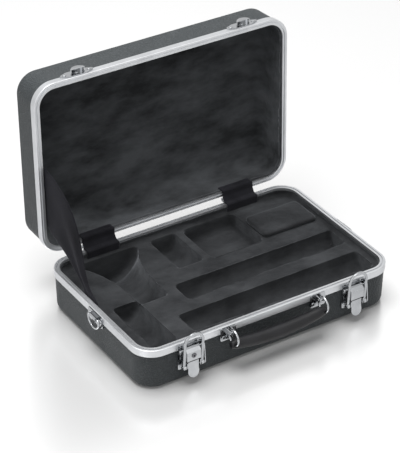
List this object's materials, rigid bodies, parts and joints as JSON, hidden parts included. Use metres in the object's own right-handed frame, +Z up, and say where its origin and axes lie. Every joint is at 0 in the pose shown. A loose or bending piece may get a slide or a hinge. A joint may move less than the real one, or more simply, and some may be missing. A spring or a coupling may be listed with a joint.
{
  "type": "clarinet case",
  "caption": "Hinged hard-shell instrument case with metal rims, draw latches, a ring-hung grip, strap rings, a cloth stay and a plush tray with fitted wells.",
  "frame": {"origin": "centre of the flat underside of the base, on the plane it stands on", "axes": "+X along the hinge line to the right-hand end as seen from the latches, -Y towards the latches and handle, +Z up; the lid is open at rest"},
  "size_m": [0.3724, 0.3187, 0.299],
  "materials": {
    "shell": "fine pebble-grained charcoal moulding",
    "rim": "satin drawn extrusion",
    "plush": "short-pile plush over foam",
    "lining": "short-pile plush over foam",
    "cloth": "soft woven stay and hinge cloth",
    "plated": "nickel-plated pressed steel",
    "steel": "plain plated pins and rivets",
    "grip": "leather-look padded grip"
  },
  "bodies": {
    "base": {"base_shell": "shell", "base_rim": "rim", "base_tray": "plush", "latch_plate_left": "plated", "latch_plate_right": "plated", "lever_pin_left": "steel", "lever_pin_right": "steel", "handle_bracket_left": "plated", "handle_bracket_right": "plated", "handle_pin_left": "steel", "handle_pin_right": "steel", "base_hinge_leaf_left": "plated", "base_hinge_leaf_right": "plated", "hinge_pin_left": "steel", "hinge_pin_right": "steel", "strap_plate_left": "plated", "strap_plate_right": "plated", "latch_rivets": "steel", "handle_rivets": "steel", "base_hinge_rivets": "steel", "strap_rivets": "steel"},
    "lid": {"lid_shell": "shell", "lid_rim": "rim", "lid_lining": "lining", "lid_hinge_leaf_left": "plated", "lid_hinge_leaf_right": "plated", "keeper_left": "plated", "keeper_right": "plated", "keeper_rivets": "steel", "lid_hinge_rivets": "steel", "gusset": "cloth", "hinge_strip_left": "cloth", "hinge_strip_right": "cloth"},
    "lever_left": {"lever_left": "plated"},
    "lever_right": {"lever_right": "plated"},
    "lock_barrel": {"lock_barrel": "steel"},
    "bail_pin_left": {"bail_pin_left": "steel"},
    "bail_pin_right": {"bail_pin_right": "steel"},
    "bail_left": {"bail_left": "plated"},
    "bail_right": {"bail_right": "plated"},
    "handle": {"handle_grip": "grip", "handle_ring_left": "plated", "handle_ring_right": "plated"},
    "strap_ring_left": {"strap_ring_left": "plated"},
    "strap_ring_right": {"strap_ring_right": "plated"},
    "accessory_cover": {"accessory_cover": "plush"}
  },
  "joints": [
    {"name": "lid_close", "type": "hinge", "parent": "base", "child": "lid", "pos_m": [0, 0.1193, 0.0573], "axis": [1, 0, 0], "range_deg": [0, 92.2], "deforming": ["gusset", "hinge_strip_left", "hinge_strip_right"]},
    {"name": "lever_left_lift", "type": "hinge", "parent": "base", "child": "lever_left", "pos_m": [-0.117, -0.119, 0.0475], "axis": [-1, 0, 0], "range_deg": [0, 115]},
    {"name": "bail_pin_left_turn", "type": "hinge", "parent": "lever_left", "child": "bail_pin_left", "pos_m": [-0.117, -0.1218, 0.0255], "axis": [-1, 0, 0], "range_deg": [-115, 0]},
    {"name": "bail_left_swing", "type": "hinge", "parent": "bail_pin_left", "child": "bail_left", "pos_m": [-0.117, -0.1218, 0.0255], "axis": [1, 0, 0], "range_deg": [-3.5, 95]},
    {"name": "lever_right_lift", "type": "hinge", "parent": "base", "child": "lever_right", "pos_m": [0.117, -0.119, 0.0475], "axis": [-1, 0, 0], "range_deg": [0, 115]},
    {"name": "bail_pin_right_turn", "type": "hinge", "parent": "lever_right", "child": "bail_pin_right", "pos_m": [0.117, -0.1218, 0.0255], "axis": [-1, 0, 0], "range_deg": [-115, 0]},
    {"name": "bail_right_swing", "type": "hinge", "parent": "bail_pin_right", "child": "bail_right", "pos_m": [0.117, -0.1218, 0.0255], "axis": [1, 0, 0], "range_deg": [-3.5, 95]},
    {"name": "lock_turn", "type": "hinge", "parent": "lever_left", "child": "lock_barrel", "pos_m": [-0.117, -0.1244, 0.04045], "axis": [0, -1, 0], "range_deg": [0, 90]},
    {"name": "handle_swing", "type": "hinge", "parent": "base", "child": "handle", "pos_m": [0, -0.122, 0.051], "axis": [-1, 0, 0], "range_deg": [0, 85]},
    {"name": "strap_ring_left_swing", "type": "hinge", "parent": "base", "child": "strap_ring_left", "pos_m": [-0.1837, -0.008, 0.05], "axis": [0, 1, 0], "range_deg": [0, 150]},
    {"name": "strap_ring_right_swing", "type": "hinge", "parent": "base", "child": "strap_ring_right", "pos_m": [0.1837, -0.008, 0.05], "axis": [0, -1, 0], "range_deg": [0, 150]},
    {"name": "accessory_cover_lift", "type": "hinge", "parent": "base", "child": "accessory_cover", "pos_m": [0.1269, 0.078, 0.0464], "axis": [-1, 0, 0], "range_deg": [0, 90]}
  ],
  "couplings": [
    {"joint": "bail_pin_left_turn", "follows": "lever_left_lift", "ratio": -1},
    {"joint": "bail_pin_right_turn", "follows": "lever_right_lift", "ratio": -1}
  ]
}
